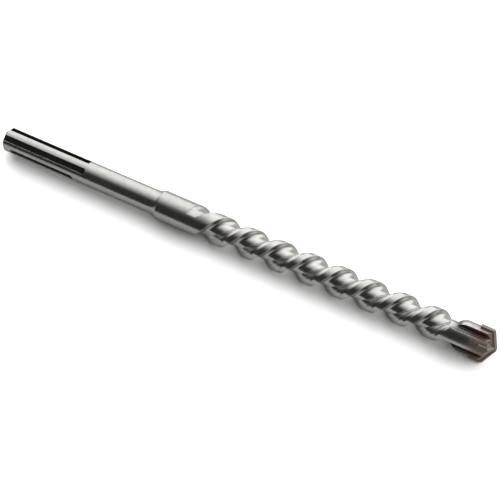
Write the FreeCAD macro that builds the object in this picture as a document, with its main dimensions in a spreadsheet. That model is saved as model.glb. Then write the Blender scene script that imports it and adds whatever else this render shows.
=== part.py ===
import FreeCAD, Part
import math
import os
import Sketcher
from FreeCAD import Placement, Rotation, Vector

# A hammer drill bit for masonry, lying on its side along X with the tip at +X.
# The origin is the centre of the shank's rear face. Around the bit an angle, here
# called a clock, is counted from -Y, through +Z, and is seen from the rear end.
# The helical flutes climb as the photograph shows them, which is left-handed.

# Driving dimensions, in millimetres and degrees

DIMENSIONS = {
    "overall_length": 377.0,
    "shank_diameter": 18.0,
    "shank_length": 121.3,
    "rear_chamfer": 2.0,
    "slot_width": 4.4,
    "slot_depth": 3.0,
    "slot_floor_length": 62.5,
    "slot_cutter_radius": 7.5,
    "slot_clock": 92.0,
    "slot_spread": 30.0,
    "lock_radius": 2.25,
    "lock_start": 6.5,
    "lock_length": 54.5,
    "collar_rise": 1.95,
    "collar_length": 32.8,
    "shoulder_radius": 14.0,
    "shoulder_edge": 0.4,
    "flute_lead": 44.8,
    "flute_depth": 4.65,
    "flute_run_out": 13.7,
    "land_width": 5.0,
    "land_bevel": 0.35,
    "front_flank": 3.8,
    "rear_flank": 7.2,
    "rear_foot": 2.6,
    "rear_foot_rise": 1.8,
    "rear_back": 2.2,
    "rear_back_drop": 0.8,
    "head_length": 34.0,
    "head_groove_depth": 4.05,
    "head_ramp": 4.0,
    "side_lobe_angle": 52.0,
    "main_lobe_angle": 48.0,
    "lobe_spacing": 82.0,
    "main_lobe_length": 30.0,
    "main_lobe_ramp": 7.0,
    "point_angle": 130.0,
    "steel_setback": 2.5,
    "steel_bevel": 48.0,
    "plate_length": 15.5,
    "plate_thickness": 4.0,
    "plate_stand_out": 1.45,
    "edge_offset": 0.6,
    "lead_bevel": 40.0,
    "relief_bevel": 25.0,
    "side_length": 12.2,
    "side_thickness": 3.6,
    "side_stand_out": 0.45,
    "side_web": 1.2,
    "side_setback": 0.8,
}


class Size:
    """A number together with the expression on the sheet that gives it."""

    def __init__(self, value, text):
        self.value = value
        self.text = text

    @staticmethod
    def of(item):
        return item if isinstance(item, Size) else Size(float(item), str(item))

    def __add__(self, other):
        other = Size.of(other)
        return Size(self.value + other.value, "(%s + %s)" % (self.text, other.text))

    def __sub__(self, other):
        other = Size.of(other)
        return Size(self.value - other.value, "(%s - %s)" % (self.text, other.text))

    def __mul__(self, other):
        other = Size.of(other)
        return Size(self.value * other.value, "(%s * %s)" % (self.text, other.text))

    def __truediv__(self, other):
        other = Size.of(other)
        return Size(self.value / other.value, "(%s / %s)" % (self.text, other.text))

    def __neg__(self):
        return Size(-self.value, "(-%s)" % self.text)


def tangent(angle):
    return Size(math.tan(math.radians(angle.value)), "tan(%s)" % angle.text)


def root(square):
    return Size(math.sqrt(square.value), "sqrt(%s)" % square.text)


def arc_tangent(ratio):
    return Size(math.degrees(math.atan(ratio.value)), "atan(%s)" % ratio.text)


# The document and its sheet of sizes

doc = FreeCAD.newDocument("drill_bit")
sheet = doc.addObject("Spreadsheet::Sheet", "sizes")
size = {}
for row, (alias, number) in enumerate(DIMENSIONS.items(), start=1):
    cell = "B%d" % row
    sheet.set("A%d" % row, alias)
    sheet.set(cell, str(number))
    sheet.setAlias(cell, alias)
    size[alias] = Size(number, "sizes." + alias)
doc.recompute()

shank_radius = size["shank_diameter"] / 2
body_radius = shank_radius + size["collar_rise"]
core_radius = body_radius - size["flute_depth"]
head_core_radius = body_radius - size["head_groove_depth"]
cutting_radius = body_radius + size["plate_stand_out"]
side_cutting_radius = body_radius + size["side_stand_out"]
side_inner_radius = size["plate_thickness"] / 2 + size["side_web"]

# The shoulder is an arc that leaves the shank smoothly and stops at the collar's edge.
shoulder_rise = size["collar_rise"] - size["shoulder_edge"]
shoulder_run = root(shoulder_rise * (size["shoulder_radius"] * 2 - shoulder_rise))
shoulder_end = size["shank_length"] + shoulder_run

# The flutes are placed by the front edge of the first land, where it passes clock 0,
# and the two side lobes of the head carry on the two lands.
flute_start = shoulder_end + size["collar_length"]
head_start = size["overall_length"] - size["head_length"]
land_middle = head_start - flute_start + size["land_width"] / 2
side_lobe_clock = land_middle / size["flute_lead"] * 360
main_lobe_clock = side_lobe_clock + size["lobe_spacing"]

half_point = size["point_angle"] / 2
steel_tip = size["overall_length"] - size["steel_setback"]
side_tip = size["overall_length"] - size["side_setback"]
plate_start = size["overall_length"] - size["plate_length"]
side_start = side_tip - size["side_length"]
# The outlines of the cuts reach this far past the steel.
overshoot = body_radius / 4


# Helpers for sketches and features

def origin_item(body, role):
    for item in body.Origin.OriginFeatures:
        if item.Role == role:
            return item
    raise ValueError("no origin feature " + role)


def new_sketch(body, name, turn, tilt=None, place=Size.of(0)):
    """A sketch through the bit's axis, turned about it. It may also be tilted to lie
    across the axis, with its origin at a place along it."""
    sketch = body.newObject("Sketcher::SketchObject", name)
    sketch.AttachmentSupport = [(origin_item(body, "XZ_Plane"), "")]
    sketch.MapMode = "FlatFace"
    rotation = "rotationx(%s)" % turn.text
    if tilt is not None:
        rotation += " * rotationz(%s) * rotationy(90)" % tilt.text
    offset = "placement(vector(%s; 0; 0); %s)" % (place.text, rotation)
    sketch.setExpression("AttachmentOffset", offset)
    return sketch


def radial_sketch(body, name, clock):
    """X runs along the bit's axis and Y points out of it at the clock angle."""
    return new_sketch(body, name, Size.of(90) - clock)


def edge_sketch(body, name, clock, tip):
    """From the tip of an edge that slopes back, X runs across the edge and Y points
    forward, square to it."""
    return new_sketch(body, name, Size.of(90) - clock, -half_point, tip)


def fix_point(sketch, geometry, end, point):
    """Holds one end of a line or arc at a place given by two sizes."""
    for kind, axis, part in (("DistanceX", -2, point[0]), ("DistanceY", -1, point[1])):
        part = Size.of(part)
        if part.value == 0:
            sketch.addConstraint(Sketcher.Constraint("PointOnObject", geometry, end, axis))
            continue
        held = Sketcher.Constraint(kind, -1, 1, geometry, end, part.value)
        number = sketch.addConstraint(held)
        sketch.setExpression("Constraints[%d]" % number, part.text)


def arc_through(start, end, radius, side):
    """The short arc of this radius, with its centre left (1) or right (-1) of its chord."""
    chord = end - start
    height = math.sqrt(max(radius ** 2 - (chord.Length / 2) ** 2, 0))
    across = Vector(-chord.y, chord.x, 0).normalize() * side
    summit = (start + end) / 2 + across * (height - radius)
    return Part.Arc(start, summit, end)


def outline(sketch, steps):
    """A closed outline. Each step is a corner, and one with a radius and a side
    leads to the next corner by an arc, whose centre is left (1) or right (-1)."""
    corners = [Vector(Size.of(step[0]).value, Size.of(step[1]).value, 0) for step in steps]
    for index, step in enumerate(steps):
        start = corners[index]
        end = corners[(index + 1) % len(steps)]
        if len(step) == 2:
            sketch.addGeometry(Part.LineSegment(start, end), False)
        else:
            sketch.addGeometry(arc_through(start, end, step[2].value, step[3]), False)
    # An arc is always stored anticlockwise, so one that turns right starts at its end.
    leaving = [2 if len(step) > 2 and step[3] < 0 else 1 for step in steps]
    for index, step in enumerate(steps):
        after = (index + 1) % len(steps)
        fix_point(sketch, index, leaving[index], step)
        joined = Sketcher.Constraint("Coincident", index, 3 - leaving[index], after, leaving[after])
        sketch.addConstraint(joined)
        if len(step) > 2:
            number = sketch.addConstraint(Sketcher.Constraint("Radius", index, step[2].value))
            sketch.setExpression("Constraints[%d]" % number, step[2].text)


def tangent_radius(run, rise):
    """The radius of an arc that leaves a line smoothly and rises this much over the run."""
    return (run * run + rise * rise) / (rise * 2)


def revolve(body, name, sketch, angle=Size.of(360), kind="PartDesign::Revolution", axis="H_Axis"):
    feature = body.newObject(kind, name)
    feature.Profile = sketch
    feature.ReferenceAxis = (sketch, [axis])
    feature.Midplane = True
    feature.setExpression("Angle", angle.text)
    return feature


def extrude(body, name, sketch, width, kind="PartDesign::Pocket"):
    """A cut or a slab of this width, half of it on each side of the sketch."""
    feature = body.newObject(kind, name)
    feature.Profile = sketch
    feature.Midplane = True
    feature.setExpression("Length", width.text)
    return feature


def repeat(body, name, features):
    """The same features once more, on the other side of the bit's axis."""
    pattern = body.newObject("PartDesign::PolarPattern", name)
    pattern.Originals = features
    pattern.Axis = (origin_item(body, "X_Axis"), [""])
    pattern.Angle = 360
    pattern.Occurrences = 2
    body.Tip = pattern
    return pattern


def gable_cut(body, name, clock, tip, ridge, slopes):
    """Cuts a front into a roof along a cutting edge: ridge holds the two sides of the
    roof's flat top, and slopes the fall to each side, in degrees."""
    sketch = edge_sketch(body, name + "_outline", clock, tip)
    reach = body_radius
    steps = [
        (ridge[0], 0),
        (ridge[0] - reach, -reach * tangent(slopes[0])),
        (ridge[0] - reach, reach),
        (ridge[1] + reach, reach),
        (ridge[1] + reach, -reach * tangent(slopes[1])),
    ]
    if ridge[1].value > ridge[0].value:
        steps.append((ridge[1], 0))
    outline(sketch, steps)
    return extrude(body, name, sketch, reach * 4)


# The steel body

def blank(body):
    """The turned blank: shank, smooth shoulder and the cylinder that the flutes cut."""
    sketch = radial_sketch(body, "blank_outline", Size.of(90))
    outline(sketch, [
        (0, 0),
        (head_start, 0),
        (head_start, body_radius),
        (shoulder_end + size["shoulder_edge"], body_radius),
        (shoulder_end, body_radius - size["shoulder_edge"], size["shoulder_radius"], -1),
        (size["shank_length"], shank_radius),
        (size["rear_chamfer"], shank_radius),
        (0, shank_radius - size["rear_chamfer"]),
    ])
    return revolve(body, "blank", sketch)


def drive_slot(body, name, clock):
    """A slot that is open at the rear and runs out where its disc cutter was lifted."""
    floor = shank_radius - size["slot_depth"]
    sketch = radial_sketch(body, name + "_outline", clock)
    outline(sketch, [
        (-overshoot, floor),
        (size["slot_floor_length"], floor, size["slot_cutter_radius"], 1),
        (size["slot_floor_length"] + size["slot_cutter_radius"], floor + size["slot_cutter_radius"]),
        (-overshoot, floor + size["slot_cutter_radius"]),
    ])
    return extrude(body, name, sketch, size["slot_width"])


def lock_grooves(body, clock):
    """Two round-bottomed grooves, closed at both ends, for the locking rollers."""
    radius = size["lock_radius"]
    lock_end = size["lock_start"] + size["lock_length"]
    sketch = radial_sketch(body, "lock_groove_outline", clock)
    outline(sketch, [
        (size["lock_start"], shank_radius),
        (size["lock_start"] + radius, shank_radius - radius),
        (lock_end - radius, shank_radius - radius),
        (lock_end, shank_radius),
    ])
    # The outline's last edge, along the shank's surface, is the axis of the round cut.
    start = Vector(size["lock_start"].value, shank_radius.value, 0)
    end = Vector(lock_end.value, shank_radius.value, 0)
    axis = sketch.addGeometry(Part.LineSegment(start, end), True)
    sketch.addConstraint(Sketcher.Constraint("Coincident", axis, 1, 0, 1))
    sketch.addConstraint(Sketcher.Constraint("Coincident", axis, 2, 3, 1))
    cut = revolve(body, "lock_groove", sketch, kind="PartDesign::Groove", axis="Axis0")
    repeat(body, "lock_grooves", [cut])


def flutes(body):
    """The two helical flutes, and their run-out into the plain collar."""
    start = flute_start
    depth = size["flute_depth"]
    front_rise = depth - size["land_bevel"]
    root_start = start + size["front_flank"]
    rear_edge = start + size["flute_lead"] / 2 - size["land_width"]
    root_end = rear_edge - size["rear_flank"]
    top = body_radius + overshoot
    back_rise = overshoot * size["rear_back_drop"] / size["rear_back"]
    sketch = radial_sketch(body, "flute_outline", Size.of(0))
    outline(sketch, [
        (start - size["land_bevel"] - overshoot, top),
        (start, body_radius - size["land_bevel"], tangent_radius(size["front_flank"], front_rise), 1),
        (root_start, core_radius),
        (root_end, core_radius),
        (root_end + size["rear_foot"], core_radius + size["rear_foot_rise"]),
        (rear_edge - size["rear_back"], body_radius - size["rear_back_drop"]),
        (rear_edge + overshoot, body_radius + back_rise),
        (rear_edge + overshoot, top),
    ])
    cuts = []
    for name in ("flute", "flute_run_out"):
        cut = body.newObject("PartDesign::SubtractiveHelix", name)
        cut.Profile = sketch
        cut.ReferenceAxis = (sketch, ["H_Axis"])
        cut.Mode = "pitch-height-angle"
        cut.LeftHanded = True
        cut.setExpression("Pitch", size["flute_lead"].text)
        cuts.append(cut)
    cuts[0].setExpression("Height", (head_start - start + overshoot * 2).text)
    run_out = size["flute_run_out"]
    cuts[1].Reversed = True
    cuts[1].setExpression("Height", (run_out * 1.1).text)
    cuts[1].setExpression("Angle", arc_tangent(depth / run_out).text)
    return repeat(body, "flutes", cuts)


def head_profile(sketch, start, ramp, inner, outer, ramp_arc=None):
    """Half the outline of a piece of the head: a ramp, a straight side and the cone."""
    cone = (outer / tangent(half_point))
    foot = (start, inner)
    if ramp_arc is not None:
        foot = (start, inner, ramp_arc, -1)
    outline(sketch, [
        (start, 0),
        foot,
        (start + ramp, outer),
        (steel_tip - cone, outer),
        (steel_tip, 0),
    ])


def head(body):
    """The straight head: a core, two main lobes and two side lobes."""
    core = radial_sketch(body, "head_core_outline", Size.of(90))
    head_profile(core, head_start - size["head_ramp"], size["head_ramp"],
                 core_radius - size["land_bevel"], head_core_radius)
    revolve(body, "head_core", core)
    main_start = size["overall_length"] - size["main_lobe_length"]
    main = radial_sketch(body, "main_lobe_outline", main_lobe_clock)
    head_profile(main, main_start, size["main_lobe_ramp"], core_radius, body_radius,
                 tangent_radius(size["main_lobe_ramp"], size["flute_depth"]))
    main_lobe = revolve(body, "main_lobe", main, size["main_lobe_angle"])
    repeat(body, "main_lobes", [main_lobe])
    half_slot = size["plate_thickness"] / 2
    bevel = gable_cut(body, "head_bevel", main_lobe_clock, steel_tip,
                      (-half_slot, half_slot), (size["steel_bevel"], size["steel_bevel"]))
    repeat(body, "head_bevels", [bevel])
    side = radial_sketch(body, "side_lobe_outline", side_lobe_clock)
    head_profile(side, head_start - size["head_ramp"], size["head_ramp"],
                 core_radius, body_radius)
    side_lobe = revolve(body, "side_lobe", side, size["side_lobe_angle"])
    repeat(body, "side_lobes", [side_lobe])


def cutter_seats(body):
    """The slots that the carbide pieces are brazed into."""
    reach = size["overall_length"] + overshoot
    edge = body_radius + overshoot
    seat = radial_sketch(body, "main_seat_outline", main_lobe_clock)
    outline(seat, [
        (plate_start, -edge),
        (reach, -edge),
        (reach, edge),
        (plate_start, edge),
    ])
    extrude(body, "main_seat", seat, size["plate_thickness"])
    side = radial_sketch(body, "side_seat_outline", side_lobe_clock)
    outline(side, [
        (side_start, side_inner_radius),
        (reach, side_inner_radius),
        (reach, edge),
        (side_start, edge),
    ])
    seat = extrude(body, "side_seat", side, size["side_thickness"])
    repeat(body, "side_seats", [seat])


def drill_body():
    body = doc.addObject("PartDesign::Body", "drill_body")
    blank(body)
    clock = size["slot_clock"]
    spread = size["slot_spread"]
    for name, turn in (("slot_near", -spread), ("slot_far", spread), ("slot_below", Size.of(180))):
        drive_slot(body, name, clock + turn)
    lock_grooves(body, clock - 90)
    flutes(body)
    head(body)
    cutter_seats(body)
    return body


# The carbide pieces

def main_cutter():
    """The plate that cuts the full diameter, with a roof-shaped edge."""
    body = doc.addObject("PartDesign::Body", "main_cutter_plate")
    clock = main_lobe_clock
    corner = size["overall_length"] - cutting_radius / tangent(half_point)
    sketch = radial_sketch(body, "plate_outline", clock)
    outline(sketch, [
        (plate_start, -cutting_radius),
        (corner, -cutting_radius),
        (size["overall_length"], 0),
        (corner, cutting_radius),
        (plate_start, cutting_radius),
    ])
    extrude(body, "plate", sketch, size["plate_thickness"], kind="PartDesign::Pad")
    edge = size["edge_offset"]
    roof = gable_cut(body, "cutting_edge", clock, size["overall_length"],
                     (edge, edge), (size["relief_bevel"], size["lead_bevel"]))
    repeat(body, "cutting_edges", [roof])
    return body


def side_cutter(name, clock):
    """A smaller plate that cuts beside the main one and sits a little behind it."""
    body = doc.addObject("PartDesign::Body", name)
    inner = side_inner_radius
    outer = side_cutting_radius
    sketch = radial_sketch(body, name + "_outline", clock)
    outline(sketch, [
        (side_start, inner),
        (side_tip - inner / tangent(half_point), inner),
        (side_tip - outer / tangent(half_point), outer),
        (side_start, outer),
    ])
    extrude(body, name + "_slab", sketch, size["side_thickness"], kind="PartDesign::Pad")
    edge = size["edge_offset"]
    gable_cut(body, name + "_edge", clock, side_tip,
              (edge, edge), (size["relief_bevel"], size["lead_bevel"]))
    return body


# Build, check and write

pieces = [
    drill_body(),
    main_cutter(),
    side_cutter("side_cutter_near", side_lobe_clock),
    side_cutter("side_cutter_far", side_lobe_clock + 180),
]
doc.recompute()
for item in doc.Objects:
    if "Invalid" in item.State or "Error" in item.State:
        raise RuntimeError("%s failed: %s" % (item.Name, item.State))
os.makedirs("parts", exist_ok=True)
for piece in pieces:
    piece.Label = piece.Name
    if piece.Shape.isNull() or not piece.Shape.isValid():
        raise RuntimeError("bad shape in " + piece.Label)
    piece.Shape.exportStep("parts/%s.step" % piece.Label)
    print(piece.Label, len(piece.Shape.Solids), "solid", round(piece.Shape.Volume, 1), "mm3")
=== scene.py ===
# %% [markdown]
# # A masonry hammer drill bit, dressed for its picture
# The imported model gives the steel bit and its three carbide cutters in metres, with the
# origin at the centre of the shank's rear face and the tip at +X. This lesson puts a
# camera, a floor and studio light around it, and gives each piece its real finish.

# %% The frame that everything is built on
import math

import bpy
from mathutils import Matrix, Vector


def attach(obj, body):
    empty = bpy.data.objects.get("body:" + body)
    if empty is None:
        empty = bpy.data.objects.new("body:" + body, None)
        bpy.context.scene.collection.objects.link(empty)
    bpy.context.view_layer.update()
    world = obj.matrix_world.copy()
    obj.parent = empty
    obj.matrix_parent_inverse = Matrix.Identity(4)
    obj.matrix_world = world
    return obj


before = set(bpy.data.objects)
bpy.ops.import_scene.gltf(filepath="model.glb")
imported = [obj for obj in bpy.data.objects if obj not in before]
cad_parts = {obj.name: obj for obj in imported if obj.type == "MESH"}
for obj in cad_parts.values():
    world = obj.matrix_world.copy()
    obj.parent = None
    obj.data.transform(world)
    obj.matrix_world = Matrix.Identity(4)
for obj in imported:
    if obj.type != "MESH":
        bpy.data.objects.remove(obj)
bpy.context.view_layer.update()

MM = 0.001
LAND_RADIUS = 10.95 * MM
scene = bpy.context.scene

# %% [markdown]
# ## The camera
# The picture was taken from above and from the side of the tip. The camera's place, its
# direction and its focal length come from fitting the shank's known diameter, so they
# are plain numbers here. Nothing is out of focus, so depth of field stays off.

# %% Camera
CAMERA_PLACE = Vector((0.336123, -0.281354, 0.578508))
CAMERA_TILT = 28.053
CAMERA_TURN = 26.218
CAMERA_LENS = 68.69
SENSOR_WIDTH = 36.0

camera_data = bpy.data.cameras.new("camera")
camera_data.lens = CAMERA_LENS
camera_data.sensor_width = SENSOR_WIDTH
camera_data.clip_start = 10 * MM
camera = bpy.data.objects.new("camera", camera_data)
camera.location = CAMERA_PLACE
camera.rotation_euler = (math.radians(CAMERA_TILT), 0, math.radians(CAMERA_TURN))
scene.collection.objects.link(camera)
scene.camera = camera
print("camera lens:", camera_data.lens, "mm")

# %% [markdown]
# ## Helpers
# The floor, the light and every finish are trees of shader nodes. These short functions
# make the nodes, so that each step below reads as one line of a sum.


# %% Helpers for node trees
def new_material(name):
    """An empty node material, its node tree and its Principled BSDF."""
    material = bpy.data.materials.new(name)
    material.use_nodes = True
    shader = material.node_tree.nodes["Principled BSDF"]
    return material, material.node_tree, shader


def add(tree, kind, links=None, **settings):
    """A node with its settings; links gives what feeds its sockets, or their numbers."""
    node = tree.nodes.new(kind)
    for key, value in settings.items():
        setattr(node, key, value)
    for socket, value in (links or {}).items():
        if isinstance(value, bpy.types.NodeSocket):
            tree.links.new(value, node.inputs[socket])
        else:
            node.inputs[socket].default_value = value
    return node


def calculate(tree, operation, *values):
    """The result of one Math node."""
    node = add(tree, "ShaderNodeMath", dict(enumerate(values)), operation=operation)
    return node.outputs[0]


def ramp_between(tree, value, low, high, to_low=0.0, to_high=1.0):
    """A smooth step: value from low to high becomes to_low to to_high."""
    node = add(tree, "ShaderNodeMapRange",
               {"Value": value, "From Min": low, "From Max": high,
                "To Min": to_low, "To Max": to_high},
               interpolation_type="SMOOTHSTEP")
    return node.outputs["Result"]


def mix_colours(tree, factor, first, second):
    """The first colour at factor 0, and the second at factor 1."""
    node = add(tree, "ShaderNodeMix", {0: factor, 6: first, 7: second}, data_type="RGBA")
    return node.outputs[2]


def object_place(tree):
    """A point's place on the object, in metres."""
    return add(tree, "ShaderNodeTexCoord").outputs["Object"]


def place_in_millimetres(tree):
    """A point's place on the object, in millimetres."""
    return add(tree, "ShaderNodeVectorMath", {0: object_place(tree), "Scale": 1 / MM},
               operation="SCALE").outputs[0]


def stretch(tree, place, by):
    """A place multiplied axis by axis, which draws a pattern out along an axis."""
    return add(tree, "ShaderNodeVectorMath", {0: place, 1: by},
               operation="MULTIPLY").outputs[0]


def turn_about_axis(tree, place, angle):
    """A place turned about the bit's axis."""
    return add(tree, "ShaderNodeVectorRotate", {"Vector": place, "Angle": angle},
               rotation_type="X_AXIS").outputs["Vector"]


def noise(tree, place, scale, detail, roughness=0.5):
    """A noise pattern from 0 to 1."""
    return add(tree, "ShaderNodeTexNoise",
               {"Vector": place, "Scale": scale, "Detail": detail,
                "Roughness": roughness}).outputs["Fac"]


# %% [markdown]
# ## The floor
# The bit lies on its lands, the outer faces of its two spirals, so the floor is one land
# radius below the axis. It is a plain white sheet, large enough for any view. The camera
# sees it overexposed, so only the shadow right at the bit is left. The steel mirrors a
# pale grey instead, with painted shade that makes it a little darker on the viewer's side of
# the bit, where the bit's shadow falls.

# %% Floor
FLOOR_REACH = 4.0
FLOOR_COLOUR = (0.95, 0.95, 0.95, 1)
FLOOR_ROUGHNESS = 0.9
OVEREXPOSED = (1.7, 1.7, 1.7, 1)
MIRRORED_SHADED_NEAR = (0.85, 0.85, 0.84, 1)
MIRRORED_FAR = (0.95, 0.95, 0.94, 1)
NEAR_SIDE = -20 * MM
FAR_SIDE = 30 * MM


def finish_floor():
    """The floor's material: one look for the camera and another for what the bit mirrors."""
    material, tree, shader = new_material("white_floor")
    shader.inputs["Base Color"].default_value = FLOOR_COLOUR
    shader.inputs["Roughness"].default_value = FLOOR_ROUGHNESS
    shader.inputs["Specular IOR Level"].default_value = 0.0
    extra = add(tree, "ShaderNodeBsdfDiffuse", {"Color": OVEREXPOSED})
    exposed = add(tree, "ShaderNodeAddShader",
                  {0: shader.outputs["BSDF"], 1: extra.outputs["BSDF"]})
    # Painted shade: what the bit mirrors is darker on the viewer's side.
    sides = add(tree, "ShaderNodeSeparateXYZ", {0: object_place(tree)})
    beyond = add(tree, "ShaderNodeMapRange",
                 {"Value": sides.outputs["Y"], "From Min": NEAR_SIDE, "From Max": FAR_SIDE})
    mirrored_painted_shade = mix_colours(tree, beyond.outputs["Result"], MIRRORED_SHADED_NEAR, MIRRORED_FAR)
    mirrored = add(tree, "ShaderNodeBsdfDiffuse", {"Color": mirrored_painted_shade})
    path = add(tree, "ShaderNodeLightPath")
    either = add(tree, "ShaderNodeMixShader",
                 {"Fac": path.outputs["Is Camera Ray"], 1: mirrored.outputs["BSDF"],
                  2: exposed.outputs["Shader"]})
    output = tree.nodes["Material Output"]
    tree.links.new(either.outputs["Shader"], output.inputs["Surface"])
    return material


floor_mesh = bpy.data.meshes.new("floor")
floor_corners = [(-1, -1), (1, -1), (1, 1), (-1, 1)]
floor_mesh.from_pydata(
    [(x * FLOOR_REACH, y * FLOOR_REACH, -LAND_RADIUS) for x, y in floor_corners],
    [], [(0, 1, 2, 3)])
floor_mesh.materials.append(finish_floor())
floor = bpy.data.objects.new("floor", floor_mesh)
scene.collection.objects.link(floor)
print("floor height:", round(-LAND_RADIUS / MM, 2), "mm")

# %% [markdown]
# ## The light
# Polished steel shows its surroundings. Here they are one wide softbox, which goes from a
# little before the zenith down to the far horizon, and a dark room on the near side. The
# world's colour draws both by direction, which is softer and cheaper than lamps. Rays
# straight from the camera see a plain white background instead.

# %% World light
# Angles round the bit, in degrees: 0 is the viewer's side and 90 is straight up.
LIGHT_FROM = 55
LIGHT_FULL = 140
LIGHT_BRIGHTNESS = 1.75
ROOM_BRIGHTNESS = 0.05
# The share of a direction that lies along the bit: close to 1 the softbox ends.
END_FROM = 0.96
END_FULL = 0.75
# A weak fill from ahead of the tip reaches the sides that face forward.
FILL_BRIGHTNESS = 0.3
FILL_FROM = 0.6
FILL_FULL = 0.88

world = bpy.data.worlds.new("studio")
scene.world = world
world.use_nodes = True
tree = world.node_tree
tree.nodes.clear()

direction = add(tree, "ShaderNodeTexCoord").outputs["Generated"]
split = add(tree, "ShaderNodeSeparateXYZ", {0: direction})
towards = calculate(tree, "MULTIPLY", split.outputs["Y"], -1.0)
angle = calculate(tree, "ARCTAN2", split.outputs["Z"], towards)
long_side = ramp_between(tree, angle, math.radians(LIGHT_FROM), math.radians(LIGHT_FULL))
reach = calculate(tree, "ABSOLUTE", split.outputs["X"])
short_side = ramp_between(tree, reach, END_FULL, END_FROM, 1.0, 0.0)
lit = calculate(tree, "MULTIPLY", long_side, short_side)
fill = ramp_between(tree, split.outputs["X"], FILL_FROM, FILL_FULL,
                    ROOM_BRIGHTNESS, FILL_BRIGHTNESS)
strength = calculate(tree, "MULTIPLY_ADD", lit, LIGHT_BRIGHTNESS, fill)
room = add(tree, "ShaderNodeBackground", {"Strength": strength})
seen = add(tree, "ShaderNodeBackground", {"Color": (1, 1, 1, 1)})
path = add(tree, "ShaderNodeLightPath")
either = add(tree, "ShaderNodeMixShader",
             {"Fac": path.outputs["Is Camera Ray"], 1: room.outputs["Background"],
              2: seen.outputs["Background"]})
add(tree, "ShaderNodeOutputWorld", {"Surface": either.outputs["Shader"]})
scene.view_settings.view_transform = "Standard"
print("softbox from", LIGHT_FROM, "degrees round the bit, at full strength from", LIGHT_FULL)

# %% [markdown]
# ## Effects that several finishes share
# Real steel is never one flat colour. Five node groups are built once: the fine grain,
# the marks that turning and milling leave, rounded edges with a painted highlight, the
# brown tint of the brazed head, and a painted shadow beside a cutter, where its step
# shades the lobe. Each group gives only colours, masks, heights and normals, and the
# shader stays in the material.


# %% A helper for node groups
def new_group(name, inputs, outputs):
    """A shader node group with these named sockets; each input has its first value."""
    group = bpy.data.node_groups.new(name, "ShaderNodeTree")
    for socket, kind, value in inputs:
        made = group.interface.new_socket(socket, in_out="INPUT", socket_type=kind)
        made.default_value = value
    for socket, kind in outputs:
        group.interface.new_socket(socket, in_out="OUTPUT", socket_type=kind)
    start = group.nodes.new("NodeGroupInput")
    end = group.nodes.new("NodeGroupOutput")
    return group, start, end


# %% Fine grain
# A patch of shade is ten grains across.
PATCH_SHARE = 0.1


def build_grain():
    """Small grain for the relief and broad patches for the shade."""
    group, start, end = new_group(
        "fine_grain", [("Spacing", "NodeSocketFloat", 0.4)],
        [("Height", "NodeSocketFloat"), ("Mottle", "NodeSocketFloat")])
    millimetres = place_in_millimetres(group)
    pitch = calculate(group, "DIVIDE", 1.0, start.outputs["Spacing"])
    fine = noise(group, millimetres, pitch, 3.0, 0.55)
    patches = calculate(group, "MULTIPLY", pitch, PATCH_SHARE)
    broad = noise(group, millimetres, patches, 4.0, 0.6)
    group.links.new(fine, end.inputs["Height"])
    group.links.new(broad, end.inputs["Mottle"])
    return group


grain_group = build_grain()
print("group:", grain_group.name)

# %% Tool marks
# How often the pattern changes in one millimetre, along the bit and across it.
TURNED_PATTERN = (2.2, 0.06, 0.06)
MILLED_PATTERN = (0.09, 1.6, 1.6)
MARK_DETAIL = 4.0
MARK_ROUGHNESS = 0.65
MILLED_LEAD_IN = 4.0
# Turning leaves fainter marks than milling.
TURNED_LOW = 0.42
TURNED_HIGH = 0.58


def build_marks():
    """Marks round the turned shank and collar, and along the flutes and the head. The
    flutes are untwisted first, so that their marks run straight in the pattern."""
    group, start, end = new_group(
        "tool_marks",
        [("Lead", "NodeSocketFloat", 44.8), ("Flutes From", "NodeSocketFloat", 168.0),
         ("Flutes To", "NodeSocketFloat", 341.0)],
        [("Height", "NodeSocketFloat"), ("Streak", "NodeSocketFloat"),
         ("Milled", "NodeSocketFloat")])
    first, last = start.outputs["Flutes From"], start.outputs["Flutes To"]
    millimetres = place_in_millimetres(group)
    along = add(group, "ShaderNodeSeparateXYZ", {0: millimetres}).outputs["X"]
    turned = noise(group, stretch(group, millimetres, TURNED_PATTERN), 1.0,
                   MARK_DETAIL, MARK_ROUGHNESS)
    within = add(group, "ShaderNodeMapRange",
                 {"Value": along, "From Min": first, "From Max": last,
                  "To Min": first, "To Max": last}).outputs["Result"]
    twist = calculate(group, "DIVIDE", calculate(group, "MULTIPLY", within, math.tau),
                      start.outputs["Lead"])
    untwisted = turn_about_axis(group, millimetres, twist)
    milled = noise(group, stretch(group, untwisted, MILLED_PATTERN), 1.0,
                   MARK_DETAIL, MARK_ROUGHNESS)
    before = calculate(group, "SUBTRACT", first, MILLED_LEAD_IN)
    fluted = ramp_between(group, along, before, first)
    faint = ramp_between(group, turned, 0.0, 1.0, TURNED_LOW, TURNED_HIGH)
    marks = add(group, "ShaderNodeMix", {0: fluted, 2: faint, 3: milled}).outputs[0]
    group.links.new(marks, end.inputs["Height"])
    group.links.new(ramp_between(group, marks, 0.35, 0.65), end.inputs["Streak"])
    group.links.new(fluted, end.inputs["Milled"])
    return group


marks_group = build_marks()
print("group:", marks_group.name)

# %% Rounded edges and their painted highlight
BEVEL_SAMPLES = 8
# The normal is rounded over less than the mask covers.
ROUNDED_SHARE = 0.45
# How far the rounded and the flat normal agree where the mask starts, and where it is full.
EDGE_FROM = 0.99
EDGE_FULL = 0.85


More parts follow.
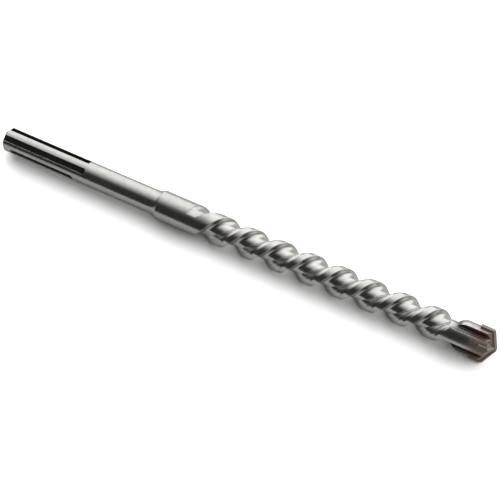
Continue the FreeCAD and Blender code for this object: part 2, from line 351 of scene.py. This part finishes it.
def build_edges_and_highlight():
    """Where the surface turns sharply: a slightly rounded normal, and a wider mask for a
    painted highlight.
    """
    group, start, end = new_group(
        "rounded_edges_painted_highlight",
        [("Radius", "NodeSocketFloat", 0.0003)],
        [("Normal", "NodeSocketVector"), ("Edge", "NodeSocketFloat")])
    wide = add(group, "ShaderNodeBevel", {"Radius": start.outputs["Radius"]},
               samples=BEVEL_SAMPLES)
    flat = add(group, "ShaderNodeNewGeometry")
    agree = add(group, "ShaderNodeVectorMath",
                {0: wide.outputs["Normal"], 1: flat.outputs["Normal"]},
                operation="DOT_PRODUCT").outputs["Value"]
    edge = ramp_between(group, agree, EDGE_FROM, EDGE_FULL)
    narrow = calculate(group, "MULTIPLY", start.outputs["Radius"], ROUNDED_SHARE)
    crisp = add(group, "ShaderNodeBevel", {"Radius": narrow}, samples=BEVEL_SAMPLES)
    group.links.new(crisp.outputs["Normal"], end.inputs["Normal"])
    group.links.new(edge, end.inputs["Edge"])
    return group


edge_highlight_group = build_edges_and_highlight()
print("group:", edge_highlight_group.name)

# %% Heat tint
# Places along the bit and radii are in millimetres, as pairs: where the effect starts and
# where it is full.
CLOUD_SCALE = 350.0
CLOUD_WANDER = 10.0
GROOVE_DEPTH = (10.2, 8.6)
GROOVE_LEAD = 3.0
HEAD_GROOVES = (343.0, 349.0)
# The shank's slots get painted shade on their floors.
SHANK_SLOTS = (72.0, 69.0)
SLOT_DEPTH = (8.85, 8.4)
GROUND_FRONT = (366.0, 370.0)


def build_heat():
    """The brown that brazing leaves, stronger towards the tip and in the deep grooves, the dark
    scale that stays in the head's grooves, and painted shade in the same dark colour on the
    floors of the shank's slots."""
    group, start, end = new_group(
        "heat_tint",
        [("Clean", "NodeSocketColor", (0.6, 0.6, 0.6, 1)),
         ("Tinted", "NodeSocketColor", (0.3, 0.2, 0.17, 1)),
         ("Deep", "NodeSocketColor", (0.08, 0.035, 0.03, 1)),
         ("Scale", "NodeSocketColor", (0.15, 0.15, 0.14, 1)),
         ("Start", "NodeSocketFloat", 350.0), ("Full", "NodeSocketFloat", 364.0)],
        [("Colour", "NodeSocketColor"), ("Tint", "NodeSocketFloat")])
    place = object_place(group)
    split = add(group, "ShaderNodeSeparateXYZ", {0: place})
    along = calculate(group, "DIVIDE", split.outputs["X"], MM)
    cloud = noise(group, place, CLOUD_SCALE, 3.0)
    wander = calculate(group, "MULTIPLY_ADD", cloud, CLOUD_WANDER, -CLOUD_WANDER / 2)
    across = calculate(group, "POWER", split.outputs["Y"], 2.0)
    up = calculate(group, "POWER", split.outputs["Z"], 2.0)
    radius = calculate(group, "SQRT", calculate(group, "ADD", across, up))
    depth = ramp_between(group, radius, *(edge * MM for edge in GROOVE_DEPTH))
    # The grooves are stained a little further back than the lobes are.
    moved = calculate(group, "ADD", calculate(group, "ADD", along, wander),
                      calculate(group, "MULTIPLY", depth, GROOVE_LEAD))
    tint = ramp_between(group, moved, start.outputs["Start"], start.outputs["Full"])
    grooves = calculate(group, "MULTIPLY", ramp_between(group, along, *HEAD_GROOVES), depth)
    # Painted shade: the deep floors of the shank's slots get the scale colour too.
    slots = calculate(group, "MULTIPLY", ramp_between(group, along, *SHANK_SLOTS),
                      ramp_between(group, radius, *(edge * MM for edge in SLOT_DEPTH)))
    scale_and_slot_shade = calculate(group, "MAXIMUM", grooves, slots)
    clean = mix_colours(group, scale_and_slot_shade, start.outputs["Clean"], start.outputs["Scale"])
    # Right at the front the stain is thin again, as the front was ground afterwards.
    front = ramp_between(group, along, *GROUND_FRONT, 1.0, 0.0)
    hot = mix_colours(group, calculate(group, "MULTIPLY", depth, front),
                      start.outputs["Tinted"], start.outputs["Deep"])
    colour = mix_colours(group, tint, clean, hot)
    group.links.new(colour, end.inputs["Colour"])
    group.links.new(tint, end.inputs["Tint"])
    return group


heat_group = build_heat()
print("group:", heat_group.name)

# %% Painted step shadow
# In millimetres: the line's least width and how much the noise widens it, and how far
# behind the seat it starts.
LINE_LEAST = 0.1
LINE_EXTRA = 0.7
LINE_LEAD_IN = 0.5
UNEVEN_SCALE = 0.9


def build_step_shadow():
    """A mask of the thin painted shadow beside a cutter, where its step shades the lobe. Clock
    is the cutter's angle round the bit. The rest is in millimetres: Half is its half thickness,
    From is where its seat begins, and Inner is the radius that the line keeps outside."""
    group, start, end = new_group(
        "painted_step_shadow",
        [("Clock", "NodeSocketFloat", 0.0), ("Half", "NodeSocketFloat", 2.0),
         ("From", "NodeSocketFloat", 361.5), ("Inner", "NodeSocketFloat", 0.0)],
        [("Line", "NodeSocketFloat")])
    seat = start.outputs["From"]
    millimetres = place_in_millimetres(group)
    angle = calculate(group, "RADIANS", start.outputs["Clock"])
    split = add(group, "ShaderNodeSeparateXYZ", {0: turn_about_axis(group, millimetres, angle)})
    aside = calculate(group, "ABSOLUTE", split.outputs["Z"])
    gap = calculate(group, "ABSOLUTE",
                    calculate(group, "SUBTRACT", aside, start.outputs["Half"]))
    uneven = noise(group, millimetres, UNEVEN_SCALE, 2.0)
    wide = calculate(group, "MULTIPLY_ADD", uneven, LINE_EXTRA, LINE_LEAST)
    near = ramp_between(group, gap, wide, 0.0)
    before = calculate(group, "SUBTRACT", seat, LINE_LEAD_IN)
    behind = ramp_between(group, split.outputs["X"], before, seat)
    out = calculate(group, "ABSOLUTE", split.outputs["Y"])
    beyond = calculate(group, "GREATER_THAN", out, start.outputs["Inner"])
    line = calculate(group, "MULTIPLY", calculate(group, "MULTIPLY", near, behind), beyond)
    group.links.new(line, end.inputs["Line"])
    return group


step_shadow_group = build_step_shadow()
print("group:", step_shadow_group.name)

# %% [markdown]
# ## The finishes
# The bit's steel is ground on the shank and milled in the flutes: bright, satin and a
# little warm. The cutters are sintered carbide, darker and duller, and were brazed at a
# heat that browned them together with the head around them.

# %% A metal from the shared groups
# Angles of the cutters round the bit, in degrees from the viewer's side.
MAIN_CLOCK = 128.6
SIDE_CLOCK = 46.6
MAIN_SEAT = {"Clock": MAIN_CLOCK, "Half": 2.0, "From": 361.3}
SIDE_SEAT = {"Clock": SIDE_CLOCK, "Half": 1.8, "From": 363.8, "Inner": 3.0}
# A painted shadow: a dark strip beside each cutter's seat, where the cutter's step shades the
# lobe.
STEP_SHADOW_COLOUR = (0.075, 0.04, 0.03, 1)
STEP_SHADOW_COVER = 0.8
# A painted highlight on sharp edges, and how much of it a heat stain takes away.
PAINTED_HIGHLIGHT_COLOUR = (0.85, 0.84, 0.82, 1)
PAINTED_HIGHLIGHT_COVER = 0.8
STAINED_HIGHLIGHT = -0.6
# Stained metal is duller, and some light is scattered by the thin oxide itself.
STAINED_METALLIC = -0.45
STAINED_ROUGHNESS = 0.16
MARKS_TO_GRAIN = 4
RELIEF_DEPTH = 0.02 * MM


def place_group(tree, group, values):
    """One of the shared groups in a material, with its own values."""
    return add(tree, "ShaderNodeGroup", values, node_tree=group)


def metal(name, heat_values, roughness, spacing, bump, edge_radius, marked=0.0, step_shadowed=False):
    """A metal with grain, tool marks, rounded edges with a painted highlight and heat tint, and
    a painted shadow beside the cutters if it has any.
    """
    material, tree, shader = new_material(name)
    grain = place_group(tree, grain_group, {"Spacing": spacing})
    marks = place_group(tree, marks_group, {})
    edges = place_group(tree, edge_highlight_group, {"Radius": edge_radius * MM})
    heat = place_group(tree, heat_group, heat_values)
    stain = heat.outputs["Tint"]
    colour = heat.outputs["Colour"]
    if step_shadowed:
        # Painted shadow beside the main cutter and the side cutters.
        main = place_group(tree, step_shadow_group, MAIN_SEAT)
        side = place_group(tree, step_shadow_group, SIDE_SEAT)
        line = calculate(tree, "MAXIMUM", main.outputs["Line"], side.outputs["Line"])
        cover = calculate(tree, "MULTIPLY", line, STEP_SHADOW_COVER)
        colour = mix_colours(tree, cover, colour, STEP_SHADOW_COLOUR)
    # Painted highlight: the edge mask lightens the colour, less where the heat stain is.
    painted_highlight = calculate(tree, "MULTIPLY", edges.outputs["Edge"], PAINTED_HIGHLIGHT_COVER)
    unstained = calculate(tree, "MULTIPLY_ADD", stain, STAINED_HIGHLIGHT, 1.0)
    highlighted = mix_colours(tree, calculate(tree, "MULTIPLY", painted_highlight, unstained), colour,
                       PAINTED_HIGHLIGHT_COLOUR)
    mottle = ramp_between(tree, grain.outputs["Mottle"], 0.3, 0.7, 0.93, 1.05)
    streak = ramp_between(tree, marks.outputs["Streak"], 0.0, 1.0, 1.0 - marked, 1.0)
    # The milled flutes and head are brighter than the ground shank.
    milled = calculate(tree, "MULTIPLY_ADD", marks.outputs["Milled"], marked, 1.0)
    shade = calculate(tree, "MULTIPLY", calculate(tree, "MULTIPLY", mottle, streak), milled)
    varied = add(tree, "ShaderNodeMix", {0: 1.0, 6: highlighted, 7: shade}, data_type="RGBA",
                 blend_type="MULTIPLY")
    tree.links.new(varied.outputs[2], shader.inputs["Base Color"])
    bare = calculate(tree, "MULTIPLY_ADD", stain, STAINED_METALLIC, 1.0)
    tree.links.new(bare, shader.inputs["Metallic"])
    rough = ramp_between(tree, grain.outputs["Height"], 0.3, 0.7,
                         roughness - 0.03, roughness + 0.05)
    dull = calculate(tree, "MULTIPLY_ADD", stain, STAINED_ROUGHNESS, rough)
    tree.links.new(dull, shader.inputs["Roughness"])
    height = calculate(tree, "MULTIPLY_ADD", marks.outputs["Height"],
                       marked * MARKS_TO_GRAIN, grain.outputs["Height"])
    relief = add(tree, "ShaderNodeBump",
                 {"Height": height, "Normal": edges.outputs["Normal"],
                  "Strength": bump, "Distance": RELIEF_DEPTH})
    tree.links.new(relief.outputs["Normal"], shader.inputs["Normal"])
    return material


tool_steel = metal("satin_tool_steel",
                   {"Clean": (0.57, 0.565, 0.54, 1), "Tinted": (0.39, 0.30, 0.25, 1),
                    "Deep": (0.13, 0.065, 0.05, 1), "Start": 354.0, "Full": 366.0},
                   roughness=0.2, spacing=0.35, bump=0.3, edge_radius=0.5, marked=0.1, step_shadowed=True)
carbide = metal("sintered_carbide",
                {"Clean": (0.40, 0.335, 0.295, 1), "Tinted": (0.38, 0.31, 0.27, 1),
                 "Deep": (0.28, 0.215, 0.18, 1), "Start": 340.0, "Full": 372.0},
                roughness=0.4, spacing=0.25, bump=0.4, edge_radius=0.4)

for node, finish in (("drill_body", tool_steel), ("main_cutter_plate", carbide),
                     ("side_cutter_near", carbide), ("side_cutter_far", carbide)):
    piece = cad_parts[node]
    piece.data.materials.clear()
    piece.data.materials.append(finish)
    print(node, "->", finish.name, len(piece.data.polygons), "faces")

# %% [markdown]
# ## The braze beads
# Braze that was squeezed out of the side cutters' seats stands round them as a thin bright
# bead. Each bead is a round tube, bent round the rear end of its cutter and laid on the
# lobe's curved face.

# %% Braze beads
# Lengths are in millimetres.
BEAD_RADIUS = 0.2
BEAD_SIDES = 10
BEAD_SINK = BEAD_RADIUS / 4
# The bead swells and thins by this share, and the wave moves on by this much at each ring.
BEAD_SWELL = 0.25
BEAD_WAVE = 2.3
BEAD_FRONT = 370.2
SEAT_REAR = 364.0
SEAT_HALF = 1.8
CORNER = 0.7
CORNER_STEPS = 4

braze, tree, shader = new_material("braze_metal")
grain = place_group(tree, grain_group, {"Spacing": 0.2})
braze_tone = mix_colours(tree, ramp_between(tree, grain.outputs["Mottle"], 0.35, 0.65),
                         (0.62, 0.47, 0.36, 1), (0.78, 0.66, 0.52, 1))
tree.links.new(braze_tone, shader.inputs["Base Color"])
shader.inputs["Metallic"].default_value = 1.0
braze_rough = ramp_between(tree, grain.outputs["Height"], 0.3, 0.7, 0.22, 0.42)
tree.links.new(braze_rough, shader.inputs["Roughness"])
lumps = add(tree, "ShaderNodeBump",
            {"Height": grain.outputs["Height"], "Strength": 0.4, "Distance": 0.03 * MM})
tree.links.new(lumps.outputs["Normal"], shader.inputs["Normal"])


def bead_path():
    """The bead's middle line: its places along the bit and across the cutter."""
    path = [(BEAD_FRONT, SEAT_HALF)]
    straight = SEAT_REAR + CORNER
    steps = list(range(CORNER_STEPS + 1))
    for side, turns in ((1, steps), (-1, steps[::-1])):
        for step in turns:
            turn = math.radians(90 / CORNER_STEPS * step)
            path.append((straight - CORNER * math.sin(turn),
                         side * (SEAT_HALF - CORNER + CORNER * math.cos(turn))))
    path.append((BEAD_FRONT, -SEAT_HALF))
    return path


def make_bead(name, clock):
    """A closed tube along the path, at a clock angle round the bit."""
    outward = Vector((0, -math.cos(math.radians(clock)), math.sin(math.radians(clock))))
    across = Vector((0, outward.z, -outward.y))
    surface = LAND_RADIUS / MM
    middles = []
    for along, aside in bead_path():
        height = math.sqrt(surface ** 2 - aside ** 2) - BEAD_SINK
        middles.append(Vector((along, 0, 0)) + across * aside + outward * height)
    points = []
    for index, middle in enumerate(middles):
        before = middles[max(index - 1, 0)]
        after = middles[min(index + 1, len(middles) - 1)]
        forward = (after - before).normalized()
        sideways = forward.cross(outward).normalized()
        upwards = sideways.cross(forward)
        size = BEAD_RADIUS * (1 + BEAD_SWELL * math.sin(index * BEAD_WAVE))
        for corner in range(BEAD_SIDES):
            turn = math.tau * corner / BEAD_SIDES
            round_the_tube = sideways * math.cos(turn) + upwards * math.sin(turn)
            points.append(middle + round_the_tube * size)
    faces = []
    for ring in range(len(middles) - 1):
        low, high = ring * BEAD_SIDES, (ring + 1) * BEAD_SIDES
        for corner in range(BEAD_SIDES):
            after = (corner + 1) % BEAD_SIDES
            faces.append((low + corner, low + after, high + after, high + corner))
    last = len(points) - BEAD_SIDES
    faces.append(tuple(reversed(range(BEAD_SIDES))))
    faces.append(tuple(range(last, last + BEAD_SIDES)))
    mesh = bpy.data.meshes.new(name)
    mesh.from_pydata([tuple(point * MM) for point in points], [], faces)
    mesh.materials.append(braze)
    mesh.shade_smooth()
    bead = bpy.data.objects.new(name, mesh)
    scene.collection.objects.link(bead)
    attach(bead, "root")
    return bead


for name, clock in (("braze_bead_near", SIDE_CLOCK), ("braze_bead_far", SIDE_CLOCK + 180)):
    bead = make_bead(name, clock)
    print(bead.name, len(bead.data.polygons), "faces")

# %% [markdown]
# ## The end

# %% End
print("scene built")
